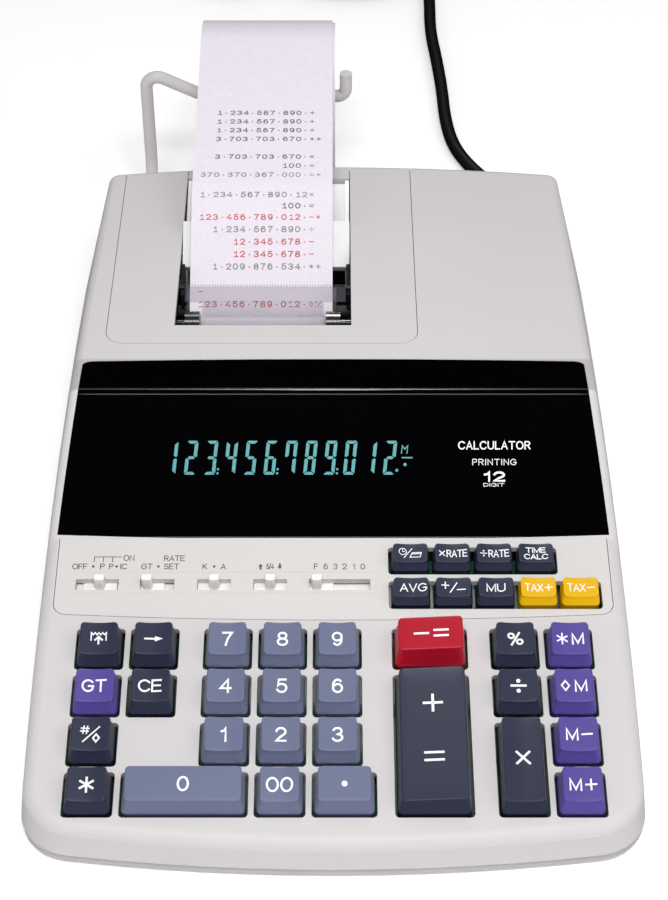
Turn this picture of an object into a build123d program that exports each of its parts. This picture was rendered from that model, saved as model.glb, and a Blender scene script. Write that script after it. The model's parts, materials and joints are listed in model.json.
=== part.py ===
"""Desktop printing calculator: case, keys, slide switches, display, printer, paper and mains cord.

Millimetres. X runs to the right, Y from the front edge to the back and Z up. The model is built with
Y = 0 at the front edge, and moved on export so that its origin is the centre of its footprint.
"""
from build123d import *
from math import atan2, cos, degrees, hypot, radians, sin, tan
import os

# Case, seen from above: half widths and where they are taken
SIDE_STATIONS = (8.0, 170.0, 312.0)
BASE_HALF_WIDTHS = (105.4, 111.4, 111.0)
DECK_HALF_WIDTHS = (97.2, 98.0, 94.3)
FRONT_BOW_RADIUS = 674.0
REAR_BOW_RADIUS = 720.0
FRONT_CORNER_RADIUS = 19.0
REAR_CORNER_RADIUS = 5.0
CASE_DEPTH = 327.0
REAR_LEAN = 5.2

# Case, seen from the side
FOOT_HEIGHT = 2.0
PARTING_HEIGHT = 5.5
PARTING_STEP = 0.7
KEYBOARD_ANGLE = 9.7
KEYBOARD_HEIGHT_AT_FRONT = 18.7
WINDOW_FOOT = (121.5, 39.5)
RIDGE = (160.0, 77.5)
WINDOW_BACK = (191.3, 66.0)
DECK_HEIGHT = 66.0
WALL = 2.5
KEYBOARD_SHOULDER = 4.5
DECK_SHOULDER = 3.0

# Keys: places along the keyboard slope are measured from the first row's front edges
ROW_ORIGIN = (66.0, 30.0)
KEY_PITCH = 19.0
MAIN_ROW_FRONT = 0.55
KEY_WIDTH = 16.2
KEY_DEPTH = 16.0
KEY_TRAVEL = 3.5
KEY_SKIRT = 5.0
KEY_CLEARANCE = 0.45
SMALL_KEY_PITCH = 15.0
SMALL_KEY_WIDTH = 14.6
SMALL_KEY_DEPTH = 10.7
SMALL_KEY_X = 27.6
SMALL_ROW_FRONTS = (26.0, 40.8)

# Control panel and its slide switches
PANEL_FRONT = 20.8
PANEL_BACK = 56.0
PANEL_HALF_WIDTH = 99.0
PANEL_SEAM = 0.25
SLOT_FRONT = 33.6
SLOT_DEPTH = 4.6
SWITCHES = {
    "switch_power_print": (-92.0, -76.6, -83.4),
    "switch_grand_total_rate": (-69.0, -56.7, -66.5),
    "switch_constant_add": (-48.6, -36.6, -42.5),
    "switch_rounding": (-28.6, -16.6, -22.5),
    "switch_decimal": (-8.7, 13.2, -5.9),
}

# Display
BEZEL_INSET = 3.0
BEZEL_THICKNESS = 2.4
BEZEL_SEAM = 0.2
BEZEL_FOOT_BOW = 1.15
BEZEL_BACK_BOW = 2.5

# Printer and its cover
COVER_X = (-87.5, 32.4)
COVER_FRONT = 201.0
COVER_THICKNESS = 2.5
COVER_SEAM = 0.25
OPENING_X = (-61.6, 7.0)
OPENING_FRONT = 212.0
REAR_RIM = 311.5
ROLLER_CENTRE = (249.0, 44.0)
ROLLER_RADIUS = 10.0
ROLLER_SHAFT_RADIUS = 2.5
PINCH_RADIUS = 4.6
FRAME_X = (-64.4, 9.6)
FRAME_PLATE = 1.6

# Paper
PAPER_X = (-57.8, -0.3)
PAPER_THICKNESS = 0.2
ROLL_CENTRE = (380.0, 60.5)
ROLL_RADIUS = 35.0
CORE_RADIUS = 6.25
ROLL_X = (-56.6, 0.85)
ROD_DIAMETER = 5.5
ROD_HEIGHT = 63.7
PAPER_OVER_ROLL = 0.9
TOTAL_DEPTH = ROLL_CENTRE[0] + ROLL_RADIUS + PAPER_OVER_ROLL + PAPER_THICKNESS / 2

# Mains cord
CORD_DIAMETER = 6.2
RELIEF_START = 316.0
COIL_RADII = (29.6, 36.0, 42.4)
COIL_CENTRE = (9.0, 621.0)
COIL_HEIGHT = 13.0
CORD_ROUTE = [
    (88.0, 350.0, 14.0),
    (86.6, 371.0, 8.6),
    (78.6, 392.0, 4.2),
    (66.5, 411.0, 3.3),
    (58.3, 431.0, 3.3),
    (55.4, 455.0, 3.3),
    (55.0, 482.0, 3.3),
    (53.4, 510.0, 3.3),
    (51.0, 540.0, 3.3),
    (51.9, 572.0, 3.3),
    (51.4, 603.0, 3.3),
]

SLOPE = radians(KEYBOARD_ANGLE)


def keyboard_point(along, above=0.0):
    """A point of the keyboard slope's own coordinates, as (y, z)."""
    y = ROW_ORIGIN[0] + along * cos(SLOPE) - above * sin(SLOPE)
    z = ROW_ORIGIN[1] + along * sin(SLOPE) + above * cos(SLOPE)
    return y, z


def keyboard_plane(x, along, above=0.0):
    """A plane lying on the keyboard slope, its normal out of the keyboard."""
    y, z = keyboard_point(along, above)
    return Plane(origin=(x, y, z), x_dir=(1, 0, 0), z_dir=(0, -sin(SLOPE), cos(SLOPE)))


def block(x_range, y_range, z_range):
    """A box between two limits along each axis."""
    size = [high - low for low, high in (x_range, y_range, z_range)]
    middle = [(high + low) / 2 for low, high in (x_range, y_range, z_range)]
    return Pos(*middle) * Box(*size)


def across(points, x_range):
    """A prism with the side view given by (y, z) points, between two x limits."""
    outline = Plane.YZ * Polygon(*points, align=None)
    return Pos(x_range[0], 0, 0) * extrude(outline, x_range[1] - x_range[0], dir=(1, 0, 0))


def rod_x(centre, radius, x_range):
    """A cylinder along X through a (y, z) centre."""
    middle = (x_range[0] + x_range[1]) / 2
    return Pos(middle, *centre) * Rot(0, 90, 0) * Cylinder(radius, x_range[1] - x_range[0])


# ------------------------------------------------------------------ the case's outer shape

def plan_outline(height, inset=0.0):
    """The case's outline at one height, moved in by the inset."""
    share = height / DECK_HEIGHT
    halves = [base + (deck - base) * share - inset for base, deck in zip(BASE_HALF_WIDTHS, DECK_HALF_WIDTHS)]
    rear = CASE_DEPTH - REAR_LEAN * share - inset
    front_y = inset + halves[0] ** 2 / (2 * FRONT_BOW_RADIUS)
    rear_y = rear - halves[2] ** 2 / (2 * REAR_BOW_RADIUS)
    edges = [
        ThreePointArc((-halves[0], front_y), (0, inset), (halves[0], front_y)),
        ThreePointArc((halves[0], front_y), (halves[1], SIDE_STATIONS[1]), (halves[2], rear_y)),
        ThreePointArc((halves[2], rear_y), (0, rear), (-halves[2], rear_y)),
        ThreePointArc((-halves[2], rear_y), (-halves[1], SIDE_STATIONS[1]), (-halves[0], front_y)),
    ]
    outline = make_face(edges)
    middle = CASE_DEPTH / 2
    outline = fillet(outline.vertices().filter_by(lambda v: v.Y < middle), FRONT_CORNER_RADIUS - inset)
    outline = fillet(outline.vertices().filter_by(lambda v: v.Y > middle), REAR_CORNER_RADIUS - 0.4 * inset)
    return Pos(0, 0, height) * outline


def plan_taper(inset=0.0):
    """The leaning side, front and rear walls as one tapering block, taller than the case."""
    return loft([plan_outline(0, inset), plan_outline(82, inset)], ruled=True)


def side_points(inset=0.0, floor=FOOT_HEIGHT):
    """The case's side view, with its top surfaces moved down by the inset."""
    lift = inset / cos(SLOPE)
    window_angle = atan2(RIDGE[1] - WINDOW_FOOT[1], RIDGE[0] - WINDOW_FOOT[0])
    back_angle = atan2(WINDOW_BACK[1] - RIDGE[1], WINDOW_BACK[0] - RIDGE[0])

    def bend(point, before, after):
        turn = (before + after) / 2
        reach = inset / cos((after - before) / 2)
        return point[0] + reach * sin(turn), point[1] - reach * cos(turn)

    return [
        (-5, floor),
        (-5, KEYBOARD_HEIGHT_AT_FRONT - 5 * tan(SLOPE) - lift),
        bend(WINDOW_FOOT, SLOPE, window_angle),
        bend(RIDGE, window_angle, back_angle),
        bend(WINDOW_BACK, back_angle, 0.0),
        (CASE_DEPTH + 5, DECK_HEIGHT - inset),
        (CASE_DEPTH + 5, floor),
    ]


def case_block(inset=0.0, floor=FOOT_HEIGHT):
    """The solid block that the case is a shell of."""
    return plan_taper(inset) & across(side_points(inset, floor), (-130, 130))


def shoulder_edges(solid, stations):
    """The case's top edges, without the ridge, section by section between the y stations."""
    chosen = []
    for low, high in zip(stations, stations[1:]):
        for edge in solid.edges():
            box = edge.bounding_box()
            ridge = box.size.Y < 0.01 and box.min.Z > RIDGE[1] - 1
            starts_here = low - 0.5 < box.min.Y < high - 1
            ends_here = box.max.Y < high + 0.5
            back_line = box.size.Y < 0.01 and abs(box.min.Y - high) < 0.5
            if box.min.Z > PARTING_HEIGHT + 1 and ends_here and (starts_here or back_line) and not ridge:
                if edge not in chosen:
                    chosen.append(edge)
    return chosen


def rounded_case_block():
    """The case's outer block with its shoulders rounded."""
    solid = case_block(0.0, PARTING_HEIGHT)
    keyboard_end = WINDOW_FOOT[0]
    keyboard = [edge for edge in shoulder_edges(solid, (-1, keyboard_end)) if edge.bounding_box().size.Y > 0.01]
    solid = fillet(keyboard, KEYBOARD_SHOULDER)
    return fillet(shoulder_edges(solid, (keyboard_end, RIDGE[0], WINDOW_BACK[0], CASE_DEPTH)), DECK_SHOULDER)


def window_band(thickness, y_range, lift=3.0):
    """The band over the sloped window, the ridge and the black top, with its inner face set in."""
    inner = side_points(thickness)[2:5]
    outer = side_points(-lift)[2:5]
    band = across(outer + inner[::-1], (-130, 130))
    return band & block((-130, 130), y_range, (20, 100))


# ------------------------------------------------------------------ keys

def plus_rows(row):
    """How far along the slope a main row's front edges are: row 1 is the topmost."""
    return MAIN_ROW_FRONT - (row - 1) * KEY_PITCH


NUMBER_X = (-36.7, -17.6, 1.4)
MAIN_KEYS = {
    # name: (x, front edge along the slope, width, depth, extra height, tilt to the right)
    "key_paper_feed": (-81.3, plus_rows(1), KEY_WIDTH, KEY_DEPTH, 0, 0),
    "key_backspace": (-62.3, plus_rows(1), KEY_WIDTH, KEY_DEPTH, 0, 0),
    "key_grand_total": (-81.3, plus_rows(2), KEY_WIDTH, KEY_DEPTH, 0, 0),
    "key_clear_entry": (-62.3, plus_rows(2), KEY_WIDTH, KEY_DEPTH, 0, 0),
    "key_subtotal": (-81.3, plus_rows(3), KEY_WIDTH, KEY_DEPTH, 0, 0),
    "key_total": (-81.3, plus_rows(4), KEY_WIDTH, KEY_DEPTH, 0, 0),
    "key_0": (-49.5, plus_rows(4), 41.8, KEY_DEPTH, 0, 0),
    "key_00": (-17.7, plus_rows(4), KEY_WIDTH, KEY_DEPTH, 0, 0),
    "key_point": (3.7, plus_rows(4), 20.9, KEY_DEPTH, 0, 0),
    "key_minus_equals": (33.6, plus_rows(1), 25.5, KEY_DEPTH, 3.0, 4.5),
    "key_plus_equals": (33.6, plus_rows(4), 25.5, 54.0, 0.6, 4.5),
    "key_percent": (63.1, plus_rows(1), KEY_WIDTH, KEY_DEPTH, 0, 0),
    "key_divide": (63.1, plus_rows(2), KEY_WIDTH, KEY_DEPTH, 0, 0),
    "key_multiply": (63.1, plus_rows(4), KEY_WIDTH, 35.0, 0, 0),
    "key_memory_total": (82.1, plus_rows(1), KEY_WIDTH, KEY_DEPTH, 0, 0),
    "key_memory_subtotal": (82.1, plus_rows(2), KEY_WIDTH, KEY_DEPTH, 0, 0),
    "key_memory_minus": (82.1, plus_rows(3), KEY_WIDTH, KEY_DEPTH, 0, 0),
    "key_memory_plus": (82.1, plus_rows(4), KEY_WIDTH, KEY_DEPTH, 0, 0),
}
for number in range(1, 10):
    key_row = 3 - (number - 1) // 3
    MAIN_KEYS[f"key_{number}"] = (NUMBER_X[(number - 1) % 3], plus_rows(key_row), KEY_WIDTH, KEY_DEPTH, 0, 0)

SMALL_KEYS = {
    "key_clock_date": (0, 1), "key_times_rate": (1, 1), "key_divide_rate": (2, 1), "key_time_calc": (3, 1),
    "key_average": (0, 0), "key_sign_change": (1, 0), "key_markup": (2, 0), "key_tax_plus": (3, 0),
    "key_tax_minus": (4, 0),
}


def cap(width, depth, front_height, rear_height, setbacks, roll=0.0):
    """A hollow key cap on its own plane: tapered sides, a top tilted to the front and a skirt."""
    front_set, rear_set, side_set = setbacks
    tallest = max(front_height, rear_height) + abs(tan(radians(roll))) * width / 2 + 0.5
    top_width = width - 2 * side_set
    top_depth = depth - front_set - rear_set
    skirt = Pos(0, 0, -KEY_SKIRT) * extrude(RectangleRounded(width, depth, 1.2), KEY_SKIRT)
    top_outline = Pos(0, (front_set - rear_set) / 2, tallest) * RectangleRounded(top_width, top_depth, 1.6)
    body = loft([RectangleRounded(width, depth, 1.2), top_outline], ruled=True)
    tilt = degrees(atan2(rear_height - front_height, top_depth))
    middle = (front_set - rear_set) / 2
    top_place = Pos(0, middle, (front_height + rear_height) / 2) * Rot(tilt, -roll, 0)
    body -= top_place * Pos(0, 0, 15) * Box(2 * width, 2 * depth, 30)
    if width < 17:
        dish_radius, dish_depth = 42.0, 0.5
        body -= top_place * Pos(0, 0, dish_radius - dish_depth) * Rot(90, 0, 0) * Cylinder(dish_radius, 3 * depth)
    hollow = Pos(0, 0, -KEY_SKIRT) * extrude(RectangleRounded(width - 2.6, depth - 2.6, 0.8), KEY_SKIRT + 1.6)
    stem = Pos(0, 0, -KEY_SKIRT / 2 + 0.8) * Cylinder(2.4, KEY_SKIRT + 1.6)
    return skirt + body - hollow + stem


def main_key(name):
    """One key of the keyboard, where it stands."""
    x, front, width, depth, extra, roll = MAIN_KEYS[name]
    shape = cap(width, depth, 5.4 + extra, 7.2 + extra, (3.0, 1.3, 1.8), roll)
    return keyboard_plane(x, front + depth / 2) * shape


def small_key_place(column, row):
    """The middle of a small key on the keyboard slope, as (x, along)."""
    return SMALL_KEY_X + column * SMALL_KEY_PITCH, SMALL_ROW_FRONTS[row] + SMALL_KEY_DEPTH / 2


def small_key(name):
    """One of the low keys above the keyboard."""
    x, along = small_key_place(*SMALL_KEYS[name])
    return keyboard_plane(x, along) * cap(SMALL_KEY_WIDTH, SMALL_KEY_DEPTH, 4.2, 5.0, (2.4, 1.0, 1.3))


def small_key_slots(margin):
    """The two shared openings that the small keys stand in."""
    cuts = Part()
    for row, columns in ((0, 5), (1, 4)):
        x_first, along = small_key_place(0, row)
        x_middle = x_first + (columns - 1) * SMALL_KEY_PITCH / 2
        width = (columns - 1) * SMALL_KEY_PITCH + SMALL_KEY_WIDTH + 2 * margin
        slot = extrude(RectangleRounded(width, SMALL_KEY_DEPTH + 2 * margin, 1.5), 8)
        cuts += keyboard_plane(x_middle, along, -5) * slot
    return cuts


# ------------------------------------------------------------------ case parts

def panel_outline(grow):
    """The control panel's outline on the keyboard slope, with bowed front edge."""
    half = PANEL_HALF_WIDTH + grow
    front = PANEL_FRONT - grow
    edges = [
        ThreePointArc((-half, front + 2.6), (0, front), (half, front + 2.6)),
        Line((half, front + 2.6), (half, PANEL_BACK)),
        Line((half, PANEL_BACK), (-half, PANEL_BACK)),
        Line((-half, PANEL_BACK), (-half, front + 2.6)),
    ]
    outline = make_face(edges)
    return fillet(outline.vertices().filter_by(lambda v: v.Y < PANEL_BACK - 5), 4.5 + grow)


def upper_case():
    """The top shell, with openings for keys, panel, display, cover, paper holder and cord."""
    shell = rounded_case_block() - case_block(WALL, 0.0)
    slope = keyboard_plane(0, 0, -8)
    for x, front, width, depth, _, _ in MAIN_KEYS.values():
        gap = 2 * KEY_CLEARANCE
        opening = extrude(RectangleRounded(width + gap, depth + gap, 1.5), 20)
        shell -= keyboard_plane(x, front + depth / 2, -8) * opening
    shell -= slope * extrude(panel_outline(PANEL_SEAM), 20)
    shell -= window_band(12, (WINDOW_FOOT[0] - 3, WINDOW_BACK[0] + 3), 12) & window_region(BEZEL_SEAM)
    cover_hole = cover_region(COVER_SEAM)
    shell -= cover_hole
    shell -= block((OPENING_X[0] - COVER_SEAM, OPENING_X[1] + COVER_SEAM), (COVER_FRONT + 5, REAR_RIM), (55, 75))
    shell -= Pos(-83.6, CASE_DEPTH - 6, 20) * Rot(90, 0, 0) * Cylinder(ROD_DIAMETER / 2 + 0.15, 20)
    shell -= Pos(CORD_ROUTE[0][0], CASE_DEPTH - 6, CORD_ROUTE[0][2]) * Rot(90, 0, 0) * Cylinder(6.1, 20)
    return shell


def cover_region(grow):
    """The region of the deck that the lift-off cover fills: a U open to the rear rim."""
    x_range = (COVER_X[0] - grow, COVER_X[1] + grow)
    length = 140
    plan = Pos((x_range[0] + x_range[1]) / 2, COVER_FRONT - grow + length / 2) * Rectangle(
        x_range[1] - x_range[0], length)
    plan = fillet(plan.vertices().filter_by(lambda v: v.Y < 250), 7 + grow)
    region = Pos(0, 0, DECK_HEIGHT - COVER_THICKNESS - grow / 2) * extrude(plan, 12)
    return region - block((OPENING_X[0] + grow, OPENING_X[1] - grow), (OPENING_FRONT, CASE_DEPTH + 20), (50, 90))


def printer_cover(outer):
    """The lift-off cover over the printer, with two locating ribs under its sides."""
    plate = outer & cover_region(0.0)
    for x in (COVER_X[0] + 3.0, COVER_X[1] - 3.0):
        plate += block((x - 0.6, x + 0.6), (COVER_FRONT + 12, CASE_DEPTH - 20), (58, DECK_HEIGHT - 1))
    return plate


def lower_case():
    """The bottom tray with a floor, a rim and two posts under the board."""
    outer = plan_taper(PARTING_STEP) & block((-130, 130), (-5, 340), (FOOT_HEIGHT, PARTING_HEIGHT - 0.1))
    inner = plan_taper(3.2) & block((-130, 130), (-5, 340), (FOOT_HEIGHT + 2, 20))
    return outer - inner


def rubber_feet():
    """Four round feet under the corners of the tray."""
    feet = [Pos(x, y, FOOT_HEIGHT / 2) * Cylinder(6.5, FOOT_HEIGHT) for x in (-88, 88) for y in (24, 296)]
    return Compound(children=feet)


def control_panel():
    """The separate panel under the display, with slots for small keys and slide switches."""
    plate = keyboard_plane(0, 0, -WALL) * extrude(panel_outline(0.0), WALL)
    plate -= small_key_slots(0.6)
    for low, high, _ in SWITCHES.values():
        slot = extrude(Rectangle(high - low, SLOT_DEPTH), 8)
        plate -= keyboard_plane((low + high) / 2, SLOT_FRONT + SLOT_DEPTH / 2, -5) * slot
    return plate


def slide_switch(name):
    """A slide switch: an upright rib at the back of a slider plate that runs under the panel."""
    knob_x = SWITCHES[name][2]
    rib = Pos(0, 0.8, 0.2) * Box(3.8, 2.6, 7.0)
    rib = fillet(rib.edges().filter_by(Axis.Z).filter_by(lambda e: (e @ 0.5).Y < 0), 1.1)
    rib = fillet(rib.edges().filter_by(lambda e: (e @ 0.5).Z > 3.6), 0.5)
    slider = Pos(0, 0, -3.3) * Box(12.0, SLOT_DEPTH + 1.6, 1.2)
    return keyboard_plane(knob_x, SLOT_FRONT + SLOT_DEPTH / 2) * (rib + slider)


# ------------------------------------------------------------------ display

def window_region(grow):
    """The window's outline, grown by a margin: bowed at its foot and back, with rounded back corners."""
    half = 120.0
    bow = (half / 94.0) ** 2
    foot, back = WINDOW_FOOT[0] - 0.3 - grow, WINDOW_BACK[0] + grow
    foot_end, back_end = foot + BEZEL_FOOT_BOW * bow, back - BEZEL_BACK_BOW * bow
    plan = make_face([
        ThreePointArc((-half, foot_end), (0, foot), (half, foot_end)),
        Line((half, foot_end), (half, back_end)),
        ThreePointArc((half, back_end), (0, back), (-half, back_end)),
        Line((-half, back_end), (-half, foot_end)),
    ])
    region = plan_taper(BEZEL_INSET - grow) & (Pos(0, 0, 20) * extrude(plan, 80))
    corners = region.edges().filter_by(lambda e: abs((e @ 0.5).X) > 80 and (e @ 0.5).Y > WINDOW_BACK[0] - 12
                                       and e.bounding_box().size.Z > 40)
    return fillet(corners, 4.0 + grow)


def display_window(outer):
    """The glossy one-piece window over the slope, the ridge and the back, rounded along its edges."""
    band = window_band(BEZEL_THICKNESS, (WINDOW_FOOT[0] - 2, WINDOW_BACK[0] + 2))
    window = outer & band & window_region(0.0)
    ridge = window.edges().filter_by(Axis.X).filter_by(lambda e: (e @ 0.5).Z > RIDGE[1] - 0.5)
    window = fillet(ridge, DECK_SHOULDER)
    return window


def display_tube():
    """The flat glass display tube behind the pane."""
    angle = degrees(atan2(RIDGE[1] - WINDOW_FOOT[1], RIDGE[0] - WINDOW_FOOT[0]))
    return Pos(-16, 148, 53) * Rot(angle, 0, 0) * Box(112, 26, 6)


# ------------------------------------------------------------------ inside

def main_board():
    """The circuit board under the keys, with a rubber dome under every key."""
    board_top = -(KEY_SKIRT + KEY_TRAVEL + 2.7)
    solids = [keyboard_plane(0, 0, board_top - 0.8) * Box(184, 108, 1.6)]
    places = [(x, front + depth / 2) for x, front, _, depth, _, _ in MAIN_KEYS.values()]
    places += [small_key_place(column, row) for column, row in SMALL_KEYS.values()]
    for x, along in places:
        solids.append(keyboard_plane(x, along, board_top + 1.2) * Cone(3.6, 2.4, 2.4))
    return Compound(children=solids)


def transformer():
    """The mains transformer: an iron core around a winding."""
    core = block((48, 92), (236, 262), (FOOT_HEIGHT + 2.1, 42))
    winding = block((56, 84), (222, 235.9), (9, 37)) + block((56, 84), (262.1, 276), (9, 37))
    return Compound(children=[core] + list(winding.solids()))


# ------------------------------------------------------------------ printer and paper

def printer_frame():
    """The printer's side plates, base, print head, pinch wheels and tear bar posts."""
    solids = []
    for side, x in enumerate(FRAME_X):
        inner = x + FRAME_PLATE if side == 0 else x - FRAME_PLATE
        plate = block(sorted((x, inner)), (206, 306), (FOOT_HEIGHT + 16, 60))
        plate -= rod_x(ROLLER_CENTRE, ROLLER_SHAFT_RADIUS + 0.05, (-80, 30))
        plate -= block((-80, 30), (276, 310), (47, 62))
        solids.append(plate)
    inside = (FRAME_X[0] + FRAME_PLATE, FRAME_X[1] - FRAME_PLATE)
    base = block(inside, (207, 300), (FOOT_HEIGHT + 16, FOOT_HEIGHT + 18))
    head = block((-54, -4), (214, 226), (FOOT_HEIGHT + 18, 44))
    frame = solids[0] + solids[1] + base + head
    lift = radians(20)
    reach = ROLLER_RADIUS + 0.8 + PINCH_RADIUS
    pinch = (ROLLER_CENTRE[0] - reach * cos(lift), ROLLER_CENTRE[1] + reach * sin(lift))
    for wheel, stub in (((-59.3, -53.5), (inside[0], -59.3)), ((-3.0, 2.8), (2.8, inside[1]))):
        frame += rod_x(pinch, PINCH_RADIUS, wheel) + rod_x(pinch, 1.4, stub)
    for x_range in ((-61.4, -59.9), (5.2, 6.7)):
        frame += across([(244, 50), (244, 56), (256, 62.5), (256, 50)], x_range)
        frame += block((min(x_range[0], inside[0]), x_range[1]) if x_range[0] < 0 else (x_range[0], inside[1]),
                       (246, 252), (56, 58))
    return frame


def paper_guide():
    """The light ramp that the printed strip climbs, the inlet tray and the clear tear bar."""
    x_range = (-61.2, 6.6)
    ramp = across([(257.5, 60), (274, 70.8), (275.4, 69.8), (275.4, 65.5), (259.5, 56.5)], x_range)
    tray = across([(285.5, 54.4), (311, 63.9), (311, 61.5), (285.5, 52.0)], x_range)
    guide = ramp + tray
    cheek = [(259.5, 56.5), (275.4, 65.5), (275.4, 62), (279, 57), (311, 65.5), (311, 61), (279, 49.5), (262, 46)]
    for low, high in ((x_range[0], x_range[0] + 1.6), (x_range[1] - 1.6, x_range[1])):
        guide += across(cheek, (low, high))
    tear_bar = across([(242.6, 53.8), (248.2, 57.9), (248.7, 57.2), (243.1, 53.1)], (-59.7, 5.0))
    return Compound(children=[guide, tear_bar])


def feed_roller():
    """The rubber roller that pulls the paper, on its steel shaft."""
    rubber = rod_x(ROLLER_CENTRE, ROLLER_RADIUS, (-59.0, 1.2))
    rubber -= rod_x(ROLLER_CENTRE, ROLLER_SHAFT_RADIUS, (-59.0, 1.2))
    shaft = rod_x(ROLLER_CENTRE, ROLLER_SHAFT_RADIUS, (FRAME_X[0] - 3, FRAME_X[1] + 3))
    return Compound(children=[rubber, shaft])


def on_circle(centre, radius, angle):
    """A point on a circle in the side view; the angle is from +Y towards +Z."""
    return centre[0] + radius * cos(radians(angle)), centre[1] + radius * sin(radians(angle))


def paper_strip():
    """The paper web: from the roll into the inlet, round the feed roller and out over the roll again."""
    wrap = ROLLER_RADIUS + 0.5
    over = ROLL_RADIUS + PAPER_OVER_ROLL
    under = ROLL_RADIUS + 0.4
    inlet = [(283.5, 54.6), (305.0, 64.2)]
    away = (inlet[0][0] - ROLLER_CENTRE[0], inlet[0][1] - ROLLER_CENTRE[1])
    supply_angle = degrees(atan2(away[1], away[0]) + atan2(wrap, (hypot(*away) ** 2 - wrap ** 2) ** 0.5))
    supply = FilletPolyline(
        on_circle(ROLL_CENTRE, under, 115), inlet[1], inlet[0], on_circle(ROLLER_CENTRE, wrap, 270 + supply_angle),
        radius=12)
    around = ThreePointArc(
        on_circle(ROLLER_CENTRE, wrap, 270 + supply_angle), on_circle(ROLLER_CENTRE, wrap, 200),
        on_circle(ROLLER_CENTRE, wrap, 126))
    climb = FilletPolyline(
        on_circle(ROLLER_CENTRE, wrap, 126), (272.0, 73.6), (286.0, 79.9), on_circle(ROLL_CENTRE, over, 100.15),
        radius=30)
    drape = ThreePointArc(
        on_circle(ROLL_CENTRE, over, 100.15), on_circle(ROLL_CENTRE, over, 40), on_circle(ROLL_CENTRE, over, -26))
    solids = Part()
    for line in (supply, around, climb, drape):
        sheet = trace(line, PAPER_THICKNESS)
        solids += Pos(PAPER_X[0], 0, 0) * extrude(Plane.YZ * sheet, PAPER_X[1] - PAPER_X[0], dir=(1, 0, 0))
    return solids


def paper_roll():
    """The paper roll on its cardboard core."""
    core = rod_x(ROLL_CENTRE, CORE_RADIUS + 1.6, ROLL_X) - rod_x(ROLL_CENTRE, CORE_RADIUS, ROLL_X)
    paper = rod_x(ROLL_CENTRE, ROLL_RADIUS, ROLL_X) - rod_x(ROLL_CENTRE, CORE_RADIUS + 1.6, ROLL_X)
    return Compound(children=[paper, core])


def paper_holder():
    """The bent rod that carries the roll behind the case."""
    back = ROLL_CENTRE[0]
    path = FilletPolyline(
        (-83.6, CASE_DEPTH - 14, 20), (-83.6, back, 20), (-83.6, back, 73.4), (-77.0, back, 73.4),
        (-57.6, back, ROD_HEIGHT), (5.6, back, ROD_HEIGHT), (5.6, back, 75.5),
        radius=[12, 5.0, 6.0, 3.4, 3.9])
    return sweep(Plane(origin=path @ 0, z_dir=path % 0) * Circle(ROD_DIAMETER / 2), path=path)


# ------------------------------------------------------------------ mains cord

def corner_radii(route):
    """The largest arc that each corner's two runs allow."""
    points = [Vector(*point) for point in route]
    radii = []
    for before, corner, after in zip(points, points[1:], points[2:]):
        turn = (corner - before).get_angle(after - corner)
        shorter = min((corner - before).length, (after - corner).length)
        radii.append(0.45 * shorter / tan(radians(turn) / 2))
    return radii


def strain_relief():
    """The tapered sleeve where the cord leaves the rear wall."""
    x, y, z = CORD_ROUTE[0]
    sections = [Plane(origin=(x, RELIEF_START, z), z_dir=(0, 1, 0)) * Circle(5.9),
                Plane(origin=(x, y, z), z_dir=(0, 1, 0)) * Circle(3.9)]
    return loft(sections)


def power_cord():
    """The stretch of cord from the strain relief to the coil."""
    radii = corner_radii(CORD_ROUTE)
    print("cord radii", [round(radius) for radius in radii])
    path = FilletPolyline(*CORD_ROUTE, radius=radii)
    tube = sweep(Plane(origin=path @ 0, z_dir=path % 0) * Circle(CORD_DIAMETER / 2), path=path)
    print("cord length", round(path.length), "volume over section", round(tube.volume / (CORD_DIAMETER ** 2 * 0.7854)))
    return tube


def cord_coil():
    """The outer shape of the coiled rest of the cord."""
    inner = COIL_RADII[0] - CORD_DIAMETER / 2
    outer = COIL_RADII[-1] + CORD_DIAMETER / 2
    ring = Cylinder(outer, COIL_HEIGHT) - Cylinder(inner, COIL_HEIGHT)
    return Pos(*COIL_CENTRE, COIL_HEIGHT / 2) * ring


def power_plug():
    """A two-blade plug lying beside the coil."""
    place = Pos(COIL_CENTRE[0] - 62, COIL_CENTRE[1] - 6, 9)
    body = extrude(Plane.XZ * RectangleRounded(24, 17.6, 5), 26, both=False)
    blades = [Pos(x, -34, 0) * Box(1.5, 18, 6.3) for x in (-6.35, 6.35)]
    neck = Pos(0, 9.9, 0) * Rot(90, 0, 0) * Cylinder(4.4, 20)
    return place * (body + blades[0] + blades[1] + neck)


def save(name, shape):
    """Moves a piece to the model's own origin and writes it."""
    export_step(Pos(0, -TOTAL_DEPTH / 2, 0) * shape, f"parts/{name}.step")


def main():
    os.makedirs("parts", exist_ok=True)
    outer = rounded_case_block()
    save("upper_case", upper_case())
    save("lower_case", lower_case())
    save("rubber_feet", rubber_feet())
    save("control_panel", control_panel())
    save("display_window", display_window(outer))
    save("display_tube", display_tube())
    save("printer_cover", printer_cover(outer))
    save("printer_frame", printer_frame())
    save("paper_guide", paper_guide())
    save("feed_roller", feed_roller())
    save("paper_strip", paper_strip())
    save("paper_roll", paper_roll())
    save("paper_holder", paper_holder())
    save("main_board", main_board())
    save("transformer", transformer())
    save("strain_relief", strain_relief())
    save("power_cord", power_cord())
    save("cord_coil", cord_coil())
    save("power_plug", power_plug())
    for name in MAIN_KEYS:
        save(name, main_key(name))
    for name in SMALL_KEYS:
        save(name, small_key(name))
    for name in SWITCHES:
        save(name, slide_switch(name))


main()
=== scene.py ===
"""Looks of the desktop printing calculator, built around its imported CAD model. Metres; +Z up."""

import json
import math

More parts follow.
